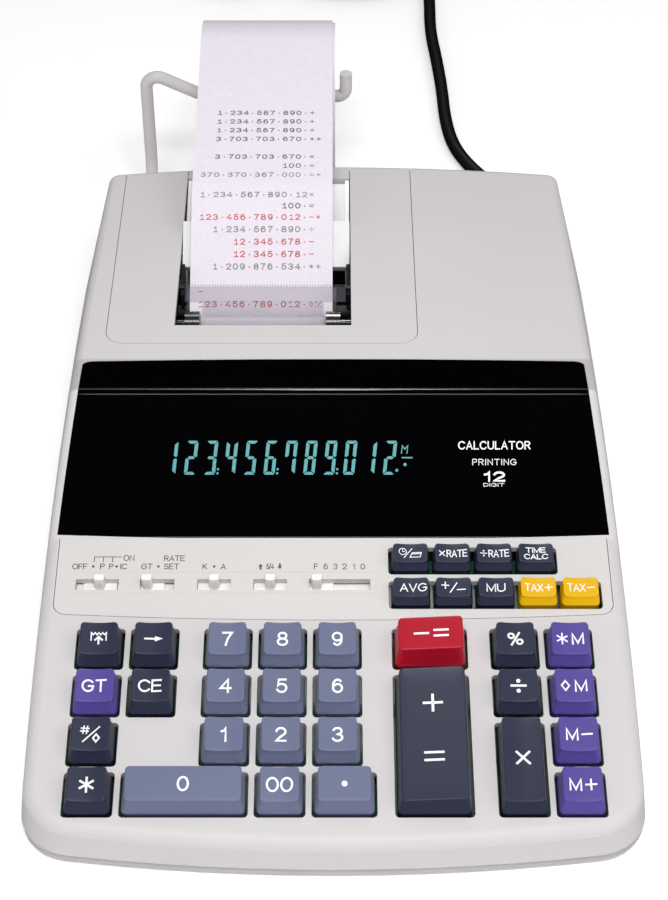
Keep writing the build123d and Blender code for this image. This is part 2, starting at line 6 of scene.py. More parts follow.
import bmesh
import bpy
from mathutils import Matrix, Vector


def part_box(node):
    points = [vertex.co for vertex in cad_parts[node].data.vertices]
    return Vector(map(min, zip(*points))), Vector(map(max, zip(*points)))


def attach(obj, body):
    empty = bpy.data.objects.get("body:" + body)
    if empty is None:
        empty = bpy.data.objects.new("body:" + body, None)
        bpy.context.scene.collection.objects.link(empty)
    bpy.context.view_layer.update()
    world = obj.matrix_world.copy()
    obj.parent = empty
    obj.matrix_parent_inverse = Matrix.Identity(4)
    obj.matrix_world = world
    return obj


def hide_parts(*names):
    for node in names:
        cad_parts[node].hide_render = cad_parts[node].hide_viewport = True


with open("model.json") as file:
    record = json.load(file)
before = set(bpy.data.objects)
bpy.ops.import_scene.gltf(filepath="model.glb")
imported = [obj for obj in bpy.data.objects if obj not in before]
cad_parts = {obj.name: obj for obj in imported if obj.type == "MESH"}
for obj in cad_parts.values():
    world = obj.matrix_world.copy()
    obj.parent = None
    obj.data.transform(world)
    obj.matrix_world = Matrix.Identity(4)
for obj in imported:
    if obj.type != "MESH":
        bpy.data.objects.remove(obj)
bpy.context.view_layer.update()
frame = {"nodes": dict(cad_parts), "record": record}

MM = 0.001
FRONT_Y = -208.0                                   # the case's front edge in the row frame
SLOPE = math.radians(9.7)
ROW_ORIGIN = (66.0, 30.0)
WINDOW_FOOT = (121.5, 39.5)
RIDGE = (160.0, 77.5)
WINDOW_ANGLE = math.atan2(RIDGE[1] - WINDOW_FOOT[1], RIDGE[0] - WINDOW_FOOT[0])
INK_LIFT = 0.05
INK_DEPTH = 0.05


def at(x, y, z):
    """A point given in millimetres from the case's front edge."""
    return Vector((x * MM, (y + FRONT_Y) * MM, z * MM))


# ---------- camera, lights and floor

def make_camera():
    """The camera at the photograph's place: in front of the machine, looking down at its keyboard."""
    data = bpy.data.cameras.new("camera")
    data.lens, data.sensor_width = 81.6, 36.0
    data.clip_end = 20
    data.shift_x = 0.0008
    camera = bpy.data.objects.new("camera", data)
    bpy.context.scene.collection.objects.link(camera)
    camera.location = at(0, -407.3, 558.6)
    camera.rotation_euler = (math.radians(48), 0, 0)
    bpy.context.scene.camera = camera


def area_light(name, place, target, size, power):
    """A rectangular soft light aimed at a point."""
    data = bpy.data.lights.new(name, "AREA")
    data.shape = "RECTANGLE"
    data.size, data.size_y = size
    data.energy = power
    light = bpy.data.objects.new(name, data)
    bpy.context.scene.collection.objects.link(light)
    light.location = place
    direction = Vector(target) - Vector(place)
    light.rotation_euler = direction.to_track_quat("-Z", "Y").to_euler()
    return light


SURROUND = 0.42
FLOOR_GLOW = 0.22


def make_studio():
    """A pale floor that glows a little, an even surround, two soft lights and a strip for the gloss.

    The surround and the floor are left out of reflections, and the strip lights only glossy ones.
    """
    scene = bpy.context.scene
    scene.view_settings.view_transform = "Standard"
    world = bpy.data.worlds.new("studio")
    scene.world = world
    world.use_nodes = True
    back = world.node_tree.nodes["Background"]
    back.inputs[0].default_value = (1.0, 1.0, 1.0, 1)
    nodes, links = world.node_tree.nodes, world.node_tree.links
    rays = nodes.new("ShaderNodeLightPath")
    level = remapped(nodes, links, rays.outputs["Is Glossy Ray"], (0, 1), (SURROUND, 0))
    links.new(level, back.inputs[1])
    area_light("front_softbox", (0, -0.55, 0.90), (0, -0.01, 0.06), (0.42, 0.15), 7.0)
    area_light("side_light", (0.85, -0.35, 1.0), (0, 0.0, 0.03), (0.9, 0.7), 3.0)
    area_light("strip_light", (0, 0.52, 0.90), (0, -0.03, 0.07), (0.08, 0.34), 7.0).visible_diffuse = False
    corners = [(-6, -6, 0), (6, -6, 0), (6, 6, 0), (-6, 6, 0)]
    floor = bpy.data.objects.new("floor", new_mesh("floor", corners, [(0, 1, 2, 3)]))
    scene.collection.objects.link(floor)
    backdrop = material("floor_paper", (0.97, 0.97, 0.97), 0.8, variation=0.005)
    lit = backdrop.node_tree.nodes["Principled BSDF"]
    lit.inputs["Emission Color"].default_value = (1, 1, 1, 1)
    lit.inputs["Emission Strength"].default_value = FLOOR_GLOW
    floor.data.materials.append(backdrop)
    floor.visible_glossy = False


# ---------- materials

def nodes_of(mat):
    tree = mat.node_tree
    return tree.nodes, tree.links, tree.nodes["Principled BSDF"]


def object_coordinates(nodes, links, scale):
    """A mapping of the piece's own coordinates."""
    coordinates = nodes.new("ShaderNodeTexCoord")
    mapping = nodes.new("ShaderNodeMapping")
    mapping.inputs["Scale"].default_value = scale
    links.new(coordinates.outputs["Object"], mapping.inputs["Vector"])
    return mapping.outputs["Vector"]


def noise(nodes, links, vector, scale, detail=3.0, roughness=0.55):
    texture = nodes.new("ShaderNodeTexNoise")
    texture.inputs["Scale"].default_value = scale
    texture.inputs["Detail"].default_value = detail
    texture.inputs["Roughness"].default_value = roughness
    links.new(vector, texture.inputs["Vector"])
    return texture.outputs["Fac"]


def ramp(nodes, links, value, stops):
    """A colour ramp over the value; stops are (position, colour)."""
    node = nodes.new("ShaderNodeValToRGB")
    elements = node.color_ramp.elements
    while len(elements) < len(stops):
        elements.new(0.5)
    for element, (position, colour) in zip(elements, stops):
        element.position = position
        element.color = (*colour, 1) if len(colour) == 3 else colour
    links.new(value, node.inputs["Fac"])
    return node.outputs["Color"]


def remapped(nodes, links, value, source, target):
    """The value carried from one range to another."""
    node = nodes.new("ShaderNodeMapRange")
    node.inputs["From Min"].default_value, node.inputs["From Max"].default_value = source
    node.inputs["To Min"].default_value, node.inputs["To Max"].default_value = target
    links.new(value, node.inputs["Value"])
    return node.outputs[0]


def bump(nodes, links, shader, height, strength, distance):
    node = nodes.new("ShaderNodeBump")
    node.inputs["Strength"].default_value = strength
    node.inputs["Distance"].default_value = distance
    links.new(height, node.inputs["Height"])
    links.new(node.outputs["Normal"], shader.inputs["Normal"])


def shade(colour, factor):
    return tuple(min(1.0, channel * factor) for channel in colour)


def material(name, colour, roughness, grain=0.0, grain_scale=1400.0, variation=0.03, metallic=0.0,
             specular=0.5):
    """A moulded or painted surface: slightly uneven colour and gloss, and a fine moulded grain."""
    mat = bpy.data.materials.new(name)
    mat.use_nodes = True
    nodes, links, shader = nodes_of(mat)
    vector = object_coordinates(nodes, links, (1, 1, 1))
    broad = noise(nodes, links, vector, 22.0)
    stops = [(0.3, shade(colour, 1 - variation)), (0.7, shade(colour, 1 + variation))]
    links.new(ramp(nodes, links, broad, stops), shader.inputs["Base Color"])
    fine = noise(nodes, links, vector, grain_scale, 2.0)
    gloss = [(0.3, (roughness - 0.04,) * 3), (0.7, (roughness + 0.04,) * 3)]
    links.new(ramp(nodes, links, fine, gloss), shader.inputs["Roughness"])
    shader.inputs["Metallic"].default_value = metallic
    shader.inputs["Specular IOR Level"].default_value = specular
    if grain:
        bump(nodes, links, shader, fine, grain, 0.00012)
    return mat


def glowing(name, colour, strength):
    """Fluorescent display segments, a little uneven like a real phosphor."""
    mat = bpy.data.materials.new(name)
    mat.use_nodes = True
    nodes, links, shader = nodes_of(mat)
    vector = object_coordinates(nodes, links, (1, 1, 1))
    grain = noise(nodes, links, vector, 900.0, 2.0)
    stops = [(0.25, shade(colour, 0.72)), (0.75, shade(colour, 1.15))]
    links.new(ramp(nodes, links, grain, stops), shader.inputs["Emission Color"])
    shader.inputs["Base Color"].default_value = (0.02, 0.05, 0.05, 1)
    shader.inputs["Emission Strength"].default_value = strength
    shader.inputs["Roughness"].default_value = 0.4
    return mat


def paper_material():
    """Smooth white calculator paper with faint fibres."""
    mat = bpy.data.materials.new("paper_white")
    mat.use_nodes = True
    nodes, links, shader = nodes_of(mat)
    vector = object_coordinates(nodes, links, (1, 1, 1))
    fibres = noise(nodes, links, vector, 420.0, 5.0, 0.7)
    stops = [(0.3, (0.74, 0.69, 0.77)), (0.7, (0.80, 0.75, 0.83))]
    links.new(ramp(nodes, links, fibres, stops), shader.inputs["Base Color"])
    shader.inputs["Roughness"].default_value = 0.62
    shader.inputs["Specular IOR Level"].default_value = 0.25
    bump(nodes, links, shader, fibres, 0.25, 0.00006)
    return mat


RING_PITCH = 0.00055
CARDBOARD = (0.36, 0.25, 0.16, 1)


def roll_material(centre_y, centre_z, core_radius):
    """The roll: wound paper with rings on its ends, and a brown cardboard core."""
    mat = paper_material()
    mat.name = "paper_roll_wound"
    nodes, links, shader = nodes_of(mat)
    coordinates = nodes.new("ShaderNodeTexCoord")
    shift = nodes.new("ShaderNodeMapping")
    shift.inputs["Location"].default_value = (0, -centre_y, -centre_z)
    shift.inputs["Scale"].default_value = (0, 1, 1)
    links.new(coordinates.outputs["Object"], shift.inputs["Vector"])
    length = nodes.new("ShaderNodeVectorMath")
    length.operation = "LENGTH"
    links.new(shift.outputs["Vector"], length.inputs[0])

    def calculated(operation, value, operand=0.0):
        node = nodes.new("ShaderNodeMath")
        node.operation = operation
        node.inputs[1].default_value = operand
        links.new(value, node.inputs[0])
        return node.outputs[0]

    wave = calculated("SINE", calculated("MULTIPLY", length.outputs["Value"], 2 * math.pi / RING_PITCH))
    level = remapped(nodes, links, wave, (-1, 1), (0, 1))
    paper = ramp(nodes, links, level, [(0.0, (0.78, 0.75, 0.81)), (1.0, (0.90, 0.88, 0.92))])
    mix = nodes.new("ShaderNodeMix")
    mix.data_type = "RGBA"
    links.new(calculated("LESS_THAN", length.outputs["Value"], core_radius), mix.inputs["Factor"])
    links.new(paper, mix.inputs["A"])
    mix.inputs["B"].default_value = CARDBOARD
    links.new(mix.outputs["Result"], shader.inputs["Base Color"])
    return mat


def clear_material():
    """Thin clear plastic with a dark tint: what lies behind it shows through, slightly darkened; the
    darkening is painted shade on the paper inside the printer.
    """
    mat = material("clear_plastic_shade_tint", (0.30, 0.27, 0.34), 0.08, variation=0.01)
    mat.node_tree.nodes["Principled BSDF"].inputs["Alpha"].default_value = 0.13
    return mat


def window_material():
    """Polished black, with its gloss set by how far the surface faces to the rear.

    The front slope hardly shines, the rounded ridge shines most and the rear slope not at all.
    """
    mat = material("black_gloss", (0.0010, 0.0009, 0.0013), 0.10, variation=0.1)
    nodes, links, shader = nodes_of(mat)
    geometry = nodes.new("ShaderNodeNewGeometry")
    parts = nodes.new("ShaderNodeSeparateXYZ")
    links.new(geometry.outputs["Normal"], parts.inputs["Vector"])
    lean = remapped(nodes, links, parts.outputs["Y"], (-0.5, 0.5), (0, 1))
    shine = [(0.42, (0.04,) * 3), (0.48, (1.0,) * 3), (0.70, (1.0,) * 3), (0.80, (0.0,) * 3)]
    links.new(ramp(nodes, links, lean, shine), shader.inputs["Specular IOR Level"])
    blur = [(0.30, (0.06,) * 3), (0.42, (0.26,) * 3)]
    links.new(ramp(nodes, links, lean, blur), shader.inputs["Roughness"])
    return mat


def board_material():
    """Green lacquer over copper tracks."""
    mat = material("circuit_board", (0.02, 0.16, 0.07), 0.3)
    nodes, links, shader = nodes_of(mat)
    vector = object_coordinates(nodes, links, (400, 400, 400))
    brick = nodes.new("ShaderNodeTexBrick")
    brick.inputs["Color1"].default_value = (0.02, 0.15, 0.07, 1)
    brick.inputs["Color2"].default_value = (0.03, 0.20, 0.09, 1)
    brick.inputs["Mortar"].default_value = (0.12, 0.30, 0.12, 1)
    links.new(vector, brick.inputs["Vector"])
    links.new(brick.outputs["Color"], shader.inputs["Base Color"])
    return mat


def laminated_material():
    """The transformer's stacked iron sheets."""
    mat = material("laminated_iron", (0.30, 0.30, 0.31), 0.42, metallic=0.8)
    nodes, links, shader = nodes_of(mat)
    vector = object_coordinates(nodes, links, (1, 1, 1))
    wave = nodes.new("ShaderNodeTexWave")
    wave.bands_direction = "Y"
    wave.inputs["Scale"].default_value = 320.0
    links.new(vector, wave.inputs["Vector"])
    bump(nodes, links, shader, wave.outputs["Fac"], 0.5, 0.0003)
    return mat


CASE = material("case_plastic", (0.585, 0.560, 0.565), 0.52, grain=0.22, variation=0.012, specular=0.3)
PANEL = material("panel_plastic", (0.605, 0.585, 0.575), 0.50, grain=0.18, variation=0.01, specular=0.3)
LOWER = material("lower_case_plastic", (0.47, 0.45, 0.44), 0.55, grain=0.22)
WHITE = material("white_satin", (0.80, 0.80, 0.79), 0.4, grain=0.08)
GLOSS = window_material()
BLACK = material("black_moulded", (0.008, 0.008, 0.010), 0.26, grain=0.12)
RUBBER = material("black_rubber", (0.018, 0.018, 0.019), 0.62, grain=0.25, grain_scale=2400)
CORD = material("black_cord_sheath", (0.005, 0.005, 0.006), 0.45, grain=0.15, grain_scale=1800, specular=0.22)
METAL = material("plated_blades", (0.62, 0.60, 0.56), 0.30, metallic=0.35)
KNOB = material("white_knob", (0.84, 0.83, 0.81), 0.35, grain=0.1)
KEY_LOOKS = {
    "dark_key": material("key_navy", (0.026, 0.030, 0.057), 0.40, grain=0.12, variation=0.05, specular=0.2),
    "number_key": material("key_blue_grey", (0.134, 0.153, 0.245), 0.40, grain=0.12, specular=0.22),
    "purple_key": material("key_purple", (0.085, 0.060, 0.285), 0.40, grain=0.12, specular=0.22),
    "red_key": material("key_red", (0.400, 0.005, 0.021), 0.36, grain=0.12, specular=0.2),
    "yellow_key": material("key_yellow", (0.74, 0.42, 0.003), 0.42, grain=0.12, specular=0.15),
}
WHITE_INK = material("white_ink", (0.86, 0.87, 0.90), 0.45)
BLACK_INK = material("black_ink", (0.035, 0.033, 0.035), 0.5)
DARK_PRINT = material("printed_black", (0.105, 0.095, 0.110), 0.6, variation=0.3)
FADED_PRINT = material("printed_grey", (0.260, 0.240, 0.260), 0.6, variation=0.3)
RED_INK = material("printed_red", (0.56, 0.085, 0.09), 0.6, variation=0.25)
PHOSPHOR = glowing("phosphor", (0.018, 0.43, 0.45), 0.72)
PAPER = paper_material()


def new_mesh(name, verts, faces):
    mesh = bpy.data.meshes.new(name)
    mesh.from_pydata(verts, [], faces)
    return mesh


def new_object(name, mesh, mat, body, slot_name):
    """Links a mesh as a piece that rides on a body."""
    piece = bpy.data.objects.new(name, mesh)
    bpy.context.scene.collection.objects.link(piece)
    piece.data.materials.append(mat)
    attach(piece, body)
    return piece


def smooth(mesh, angle=35):
    """Smooth shading, with sharp edges where faces meet at more than the angle."""
    work = bmesh.new()
    work.from_mesh(mesh)
    bmesh.ops.recalc_face_normals(work, faces=work.faces)
    for face in work.faces:
        face.smooth = True
    for edge in work.edges:
        if len(edge.link_faces) == 2 and edge.calc_face_angle(0) > math.radians(angle):
            edge.smooth = False
    work.to_mesh(mesh)
    work.free()
    mesh.update()
    return mesh


# ---------- flat figures: text, strokes, segments

def sweep(x, y, rx, ry, start, end, count=14):
    """Points along an ellipse between two angles in degrees."""
    angles = [math.radians(start + (end - start) * k / count) for k in range(count + 1)]
    return [(x + rx * math.cos(a), y + ry * math.sin(a)) for a in angles]


def circle_line(x, y, radius):
    return sweep(x, y, radius, radius, 0, 360, 18)


# Plain capitals and figures as centre lines, each one unit tall: (advance width, lines)
LETTERS = {
    "0": (0.70, [sweep(0.35, 0.5, 0.35, 0.5, 90, 450, 28)]),
    "1": (0.46, [[(0.08, 0.74), (0.26, 0.80), (0.36, 1.0), (0.36, 0)]]),
    "2": (0.68, [sweep(0.35, 0.71, 0.32, 0.29, 172, -38) + [(0.30, 0.29), (0.02, 0.0), (0.68, 0)]]),
    "3": (0.68, [sweep(0.34, 0.755, 0.29, 0.245, 160, -90) + sweep(0.34, 0.26, 0.34, 0.26, 85, -160)]),
    "4": (0.74, [[(0.54, 0), (0.54, 1.0), (0.0, 0.30), (0.74, 0.30)]]),
    "5": (0.68, [[(0.62, 1.0), (0.14, 1.0), (0.06, 0.50)] + sweep(0.34, 0.33, 0.34, 0.33, 135, -155)]),
    "6": (0.68, [sweep(0.35, 0.52, 0.32, 0.48, 48, 180, 10) + sweep(0.35, 0.32, 0.32, 0.32, 180, -180, 24)]),
    "7": (0.66, [[(0.0, 1.0), (0.66, 1.0), (0.36, 0.52), (0.22, 0)]]),
    "8": (0.68, [sweep(0.34, 0.76, 0.28, 0.24, 270, -90, 22) + sweep(0.34, 0.26, 0.34, 0.26, 90, 450, 22)]),
    "9": (0.68, [sweep(0.33, 0.48, 0.32, 0.48, 228, 360, 10) + sweep(0.33, 0.68, 0.32, 0.32, 0, -360, 24)]),
    "A": (0.80, [[(0, 0), (0.40, 1), (0.80, 0)], [(0.13, 0.32), (0.67, 0.32)]]),
    "C": (0.84, [sweep(0.46, 0.5, 0.46, 0.5, 38, 322, 22)]),
    "D": (0.76, [[(0.3, 0), (0, 0), (0, 1), (0.3, 1)] + sweep(0.3, 0.5, 0.46, 0.5, 80, -80) + [(0.3, 0)]]),
    "E": (0.68, [[(0.68, 1), (0, 1), (0, 0), (0.70, 0)], [(0, 0.52), (0.62, 0.52)]]),
    "F": (0.62, [[(0.62, 1), (0, 1), (0, 0)], [(0, 0.52), (0.54, 0.52)]]),
    "G": (0.90, [sweep(0.46, 0.5, 0.46, 0.5, 42, 325, 22) + [(0.88, 0.47), (0.52, 0.47)]]),
    "I": (0.06, [[(0.03, 0), (0.03, 1)]]),
    "K": (0.70, [[(0, 0), (0, 1)], [(0.66, 1), (0, 0.36)], [(0.24, 0.58), (0.70, 0)]]),
    "L": (0.58, [[(0, 1), (0, 0), (0.58, 0)]]),
    "M": (0.86, [[(0, 0), (0, 1), (0.43, 0.06), (0.86, 1), (0.86, 0)]]),
    "N": (0.72, [[(0, 0), (0, 1), (0.72, 0), (0.72, 1)]]),
    "O": (0.90, [sweep(0.45, 0.5, 0.45, 0.5, 90, 450, 28)]),
    "P": (0.66, [[(0, 0), (0, 1), (0.38, 1)] + sweep(0.38, 0.735, 0.28, 0.265, 80, -90) + [(0, 0.47)]]),
    "R": (0.72, [[(0, 0), (0, 1), (0.40, 1)] + sweep(0.40, 0.75, 0.28, 0.25, 80, -90) + [(0, 0.50)],
                 [(0.36, 0.50), (0.72, 0)]]),
    "S": (0.72, [sweep(0.35, 0.755, 0.30, 0.245, 25, 262) + sweep(0.36, 0.26, 0.35, 0.26, 82, -160)]),
    "T": (0.78, [[(0, 1), (0.78, 1)], [(0.39, 1), (0.39, 0)]]),
    "U": (0.76, [[(0, 1)] + sweep(0.38, 0.36, 0.38, 0.36, 180, 360) + [(0.76, 1)]]),
    "V": (0.78, [[(0, 1), (0.39, 0), (0.78, 1)]]),
    "X": (0.72, [[(0, 0), (0.72, 1)], [(0, 1), (0.72, 0)]]),
    "W": (1.10, [[(0, 1), (0.27, 0), (0.55, 1), (0.83, 0), (1.10, 1)]]),
    "/": (0.40, [[(0, -0.05), (0.40, 1.05)]]),
    "-": (0.42, [[(0, 0.42), (0.42, 0.42)]]),
    "%": (1.00, [circle_line(0.2, 0.76, 0.2), circle_line(0.8, 0.24, 0.2), [(0.22, -0.02), (0.78, 1.02)]]),
    " ": (0.4, []),
}


def text(body, size, weight=0.13, stretch=1.0, gap=0.22):
    """A line of capitals or figures, centred; size is their height and weight the stroke over that height."""
    width = size * weight
    tall = size - width
    lines, x = [], 0.0
    for character in body:
        advance, strokes = LETTERS[character]
        lines += [[(x + px * tall * stretch, py * tall) for px, py in line] for line in strokes]
        x += (advance + gap) * tall * stretch
    x -= gap * tall * stretch
    return moved(stroke_figure(lines, width), -x / 2, -tall / 2)


def stroke_figure(lines, width):
    """Lines drawn as mitred ribbons of one width, with square ends."""
    points, faces = [], []
    half = width / 2
    for line in lines:
        run = [line[0]] + [point for last, point in zip(line, line[1:]) if math.dist(last, point) > 1e-6]
        closed = math.dist(run[0], run[-1]) < 1e-6
        run = run[:-1] if closed else run
        count = len(run)
        start = len(points)
        for k, (x, y) in enumerate(run):
            before = run[k - 1] if closed or k else None
            after = run[(k + 1) % count] if closed or k < count - 1 else None
            ways = []
            for start_point, end_point in ((before, (x, y)), ((x, y), after)):
                if start_point and end_point:
                    length = math.dist(start_point, end_point)
                    ways.append(tuple((e - b) / length for b, e in zip(start_point, end_point)))
            ux, uy = ways[0][0] + ways[-1][0], ways[0][1] + ways[-1][1]
            length = max(math.hypot(ux, uy), 1e-6)
            ux, uy = ux / length, uy / length
            reach = half / max(0.5, ux * ways[0][0] + uy * ways[0][1])
            push = 0.0 if before and after else (half * 0.9 if after is None else -half * 0.9)
            points += [(x + ux * push - uy * reach, y + uy * push + ux * reach),
                       (x + ux * push + uy * reach, y + uy * push - ux * reach)]
        for k in range(count if closed else count - 1):
            a, b = start + 2 * k, start + 2 * ((k + 1) % count)
            faces.append((a, a + 1, b + 1, b))
    return points, faces


def disc_figure(x, y, radius, count=14):
    points = [(x + radius * math.cos(2 * math.pi * k / count), y + radius * math.sin(2 * math.pi * k / count))
              for k in range(count)]
    return points, [tuple(range(count))]


def moved(figure, x, y):
    points, faces = figure
    return [(px + x, py + y) for px, py in points], faces


def joined(*figures):
    points, faces = [], []
    for figure_points, figure_faces in figures:
        start = len(points)
        points += figure_points
        faces += [tuple(start + index for index in face) for face in figure_faces]
    return points, faces


def ink(name, figure, place, mat, body, slot_name, depth=INK_DEPTH):
    """A figure laid on a surface as a thin closed solid; place(x, y, lift) gives each point."""
    points, faces = figure
    count = len(points)
    lower = [place(x, y, INK_LIFT - depth) for x, y in points]
    upper = [place(x, y, INK_LIFT) for x, y in points]
    edges = {}
    for face in faces:
        for a, b in zip(face, face[1:] + face[:1]):
            edges[(a, b)] = edges.get((a, b), 0) + 1
    walls = [(a, b, b + count, a + count) for a, b in edges if (b, a) not in edges]
    top = [tuple(index + count for index in face) for face in faces]
    bottom = [face[::-1] for face in faces]
    mesh = new_mesh(name, lower + upper, bottom + top + walls)
    mesh.validate()
    return new_object(name, mesh, mat, body, slot_name)


# ---------- keys

def slope_point(x, along, above):
    """A point over the keyboard slope; along starts at the first row's front edges."""
    y = ROW_ORIGIN[0] + along * math.cos(SLOPE) - above * math.sin(SLOPE)
    z = ROW_ORIGIN[1] + along * math.sin(SLOPE) + above * math.cos(SLOPE)
    return at(x, y, z)


class Key:
    """A key's own measures, taken from its CAD cap, and the shape of its top."""
    SKIRT = 5.0

    def __init__(self, name, front, rear, setbacks, roll=0.0):
        low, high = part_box(name)
        self.name = name
        self.x = (low[0] + high[0]) / 2 / MM
        self.width = (high[0] - low[0]) / MM
        y_low, y_high = low[1] / MM - FRONT_Y, high[1] / MM - FRONT_Y
        self.depth = (y_high - y_low - self.SKIRT * math.sin(SLOPE)) / math.cos(SLOPE)
        self.along = (y_low - ROW_ORIGIN[0]) / math.cos(SLOPE) + self.depth / 2
        self.front, self.rear = front, rear
        self.front_set, self.rear_set, self.side_set = setbacks
        self.roll = math.tan(math.radians(roll))
        self.dished = self.width < 17

    def top(self, x, y):
        """The top's height over the keyboard slope at a point of the key."""
        y_front = -self.depth / 2 + self.front_set
        y_rear = self.depth / 2 - self.rear_set
        share = (y - y_front) / (y_rear - y_front)
        height = self.front + (self.rear - self.front) * share + self.roll * x
        if self.dished:
            height -= 0.75 - min(0.75, x * x / 52.0)
        return height

    def place(self, x, y, lift):
        return slope_point(self.x + x, self.along + y, self.top(x, y) + lift)


def rounded_ring(width, depth, shift, radius, corner=5, side=6):
    """Points round a rectangle with rounded corners; its sides are divided to follow a curve."""
    hx, hy = width / 2 - radius, depth / 2 - radius
    ring = []
    for quarter, (sx, sy) in enumerate(((1, -1), (1, 1), (-1, 1), (-1, -1))):
        start = -math.pi / 2 + quarter * math.pi / 2
        for k in range(corner + 1):
            angle = start + k * math.pi / 2 / corner
            ring.append((sx * hx + radius * math.cos(angle), shift + sy * hy + radius * math.sin(angle)))
        nx, ny = ((1, 1), (-1, 1), (-1, -1), (1, -1))[quarter]
        end_angle = start + math.pi / 2
        x_end = nx * hx + radius * math.cos(end_angle)
        y_end = shift + ny * hy + radius * math.sin(end_angle)
        x_from, y_from = ring[-1]
        for k in range(1, side):
            ring.append((x_from + (x_end - x_from) * k / side, y_from + (y_end - y_from) * k / side))
    return ring


def key_cap(key, mat, slot_name):
    """A moulded cap: a skirt, tapered sides, softly rounded top edges and a dished or flat top."""
    shift = (key.front_set - key.rear_set) / 2
    top_width = key.width - 2 * key.side_set
    top_depth = key.depth - key.front_set - key.rear_set
    edge = 0.32
    rings = []

    def add(width, depth, offset, radius, height):
        points = rounded_ring(width, depth, offset, radius)
        rings.append([(x, y, height(x, y)) for x, y in points])

    base_width, base_depth = key.width - 0.9, key.depth - 0.9
    add(base_width - 1.2, base_depth - 1.2, 0.2, 1.2, lambda x, y: -key.SKIRT + 0.05)
    add(base_width, base_depth, 0.2, 1.9, lambda x, y: -key.SKIRT + 0.05)
    add(base_width, base_depth, 0.2, 1.9, lambda x, y: 0.1)
    for share in (0.02, 0.2, 0.45, 0.7, 0.86):
        width = base_width + (top_width - base_width) * share
        depth = base_depth + (top_depth - base_depth) * share
        add(width, depth, shift * share, 1.7, lambda x, y, s=share: 0.55 + (key.top(x, y) - edge - 0.55) * s)
    for step in range(5):
        angle = step * math.pi / 8
        inset = edge * (1 - math.cos(angle)) * 1.6
        drop = edge * (1 - math.sin(angle))
        add(top_width - 2 * inset + 0.4, top_depth - 2 * inset + 0.4, shift, 1.5,
            lambda x, y, d=drop: key.top(x, y) - d)
    for share in (0.78, 0.55, 0.3, 0.08):
        add((top_width - 2.4) * share, (top_depth - 2.4) * share, shift, 1.2 * share, key.top)
    count = len(rings[0])
    verts = [slope_point(key.x + x, key.along + y, z) for ring in rings for x, y, z in ring]
    faces = []
    for level in range(len(rings) - 1):
        for k in range(count):
            a, b = level * count + k, level * count + (k + 1) % count
            faces.append((a, b, b + count, a + count))
    faces.append(tuple(range((len(rings) - 1) * count, len(rings) * count)))
    faces.append(tuple(reversed(range(count))))
    name = "cap_" + key.name
    piece = new_object(name, smooth(new_mesh(name, verts, faces), 50), mat, key.name, slot_name)
    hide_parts(key.name)


DIAMOND = [(0, 1.0), (0.78, 0), (0, -1.0), (-0.78, 0), (0, 1.0)]


def diamond(x, y, size, width=0.5):
    return stroke_figure([[(x + px * size, y + py * size) for px, py in DIAMOND]], width)


def asterisk(x, y, size, width=0.55):
    lines = []
    for k in range(3):
        dx, dy = size * math.cos(math.radians(90 + 60 * k)), size * math.sin(math.radians(90 + 60 * k))
        lines.append([(x - dx, y - dy), (x + dx, y + dy)])
    return stroke_figure(lines, width)


def plus(x, y, size, width=0.6):
    inner = width / 2
    return stroke_figure([[(x - size, y), (x + size, y)], [(x, y + inner), (x, y + size)],
                          [(x, y - inner), (x, y - size)]], width)


def bars(x, y, half, offsets, width=0.6):
    return stroke_figure([[(x - half, y + dy), (x + half, y + dy)] for dy in offsets], width)


def times(x, y, size, width=0.6):
    inner = width * 0.36
    lines = [[(x - size, y - size), (x + size, y + size)]]
    lines += [[(x - s * inner, y + s * inner), (x - s * size, y + s * size)] for s in (1, -1)]
    return stroke_figure(lines, width)


def paper_feed_symbol():
    """A torn paper edge with an arrow pointing up."""
    teeth = [(-2.6 + 0.65 * k, 2.1 if k % 2 == 0 else 1.3) for k in range(9)]
    frame_lines = [teeth, [(-2.6, 2.1), (-2.6, -0.8)], [(2.6, 2.1), (2.6, -0.8)]]
    arrow = [[(0, -2.0), (0, 0.4)], [(-1.2, -0.6), (0, 0.6), (1.2, -0.6)]]
    return joined(stroke_figure(frame_lines, 0.42), stroke_figure(arrow, 0.62))


def right_arrow():
    head = ([(0.5, 1.0), (0.5, -1.0), (3.3, 0)], [(0, 1, 2)])
    return joined(stroke_figure([[(-2.9, 0), (0.7, 0)]], 0.66), head)


def number_or_subtotal_symbol():
    """A hash, a slash and a diamond."""
    hash_lines = [[(-3.2, 2.1), (-0.6, 2.1)], [(-3.4, 1.1), (-0.8, 1.1)], [(-2.3, 2.9), (-2.6, 0.3)],
                  [(-1.1, 2.9), (-1.4, 0.3)]]
    return joined(stroke_figure(hash_lines, 0.42), stroke_figure([[(-2.5, -2.6), (2.9, 2.6)]], 0.46),
                  diamond(1.9, -1.3, 1.35, 0.55))


def clock_date_symbol():
    """A clock face, a slash and a calendar sheet."""
    sheet = [(-0.1, -1.5), (3.5, -1.5), (4.0, 0.3), (0.7, 0.3), (-0.1, -1.5)]
    face = [circle_line(-2.7, 0.75, 1.3), [(-2.7, 0.75), (-2.7, 1.6)], [(-2.7, 0.75), (-2.0, 0.75)]]
    return joined(stroke_figure(face, 0.28), stroke_figure([[(-2.2, -1.7), (0.6, 2.0)]], 0.3),
                  stroke_figure([sheet, [(0.5, -0.2), (3.8, -0.2)]], 0.3))


def division(x, y, half, dot, gap, width):
    return joined(bars(x, y, half, (0,), width), disc_figure(x, y + gap, dot), disc_figure(x, y - gap, dot))


def letter_m(x):
    return moved(text("M", 4.3, 0.15, 1.15), x, 0)


def rate_word():
    return moved(text("RATE", 3.0, 0.13, 0.74), 1.7, 0)


def tax_word():
    return moved(text("TAX", 3.1, 0.115, 0.82), -1.6, 0)


